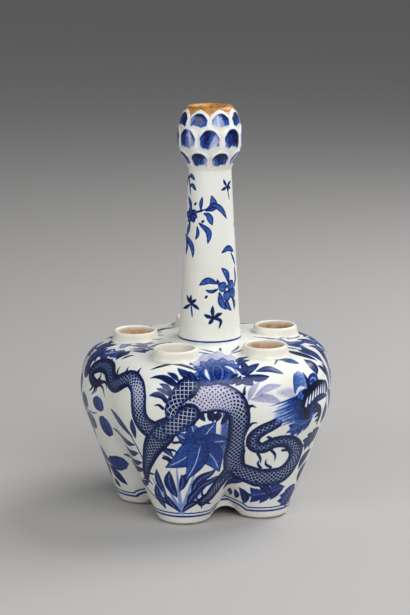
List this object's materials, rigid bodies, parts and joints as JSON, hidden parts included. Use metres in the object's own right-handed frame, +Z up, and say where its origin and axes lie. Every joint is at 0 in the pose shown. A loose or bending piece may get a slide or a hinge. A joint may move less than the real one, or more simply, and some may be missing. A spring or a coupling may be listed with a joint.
{
  "type": "tulipiere flower vase",
  "caption": "Blue-and-white porcelain flower vase: fused round lobes on small feet, a short spout on each shoulder, a tall tapering neck and a lotus-bud mouth.",
  "frame": {"origin": "middle of the standing plane of the five feet, on the axis of the neck", "axes": "+Z up along the neck; +X to the right and +Y away from the viewer in the picture's view"},
  "size_m": [0.1519, 0.1532, 0.24],
  "materials": {
    "painted_porcelain": "clear glossy glaze over cobalt painting",
    "white_porcelain": "clear glossy glaze",
    "cobalt_petals": "cobalt wash under a clear glossy glaze",
    "iron_lip": "iron-brown dressing, satin",
    "foot_clay": "white porcelain clay, glazed outside, bare where it stands"
  },
  "bodies": {
    "root": {"lobe_section_1": "painted_porcelain", "lobe_section_2": "painted_porcelain", "lobe_section_3": "painted_porcelain", "lobe_section_4": "painted_porcelain", "lobe_section_5": "painted_porcelain", "shoulder_section_1": "painted_porcelain", "shoulder_section_2": "painted_porcelain", "shoulder_section_3": "painted_porcelain", "shoulder_section_4": "painted_porcelain", "shoulder_section_5": "painted_porcelain", "foot_ring_1": "foot_clay", "foot_ring_2": "foot_clay", "foot_ring_3": "foot_clay", "foot_ring_4": "foot_clay", "foot_ring_5": "foot_clay", "base_floor": "foot_clay", "spout_1": "white_porcelain", "spout_2": "white_porcelain", "spout_3": "white_porcelain", "spout_4": "white_porcelain", "spout_5": "white_porcelain", "neck": "painted_porcelain", "mouth_bulb": "white_porcelain", "mouth_lip": "iron_lip", "petals_lower": "cobalt_petals", "petals_middle": "cobalt_petals", "petals_upper": "cobalt_petals"}
  },
  "joints": []
}
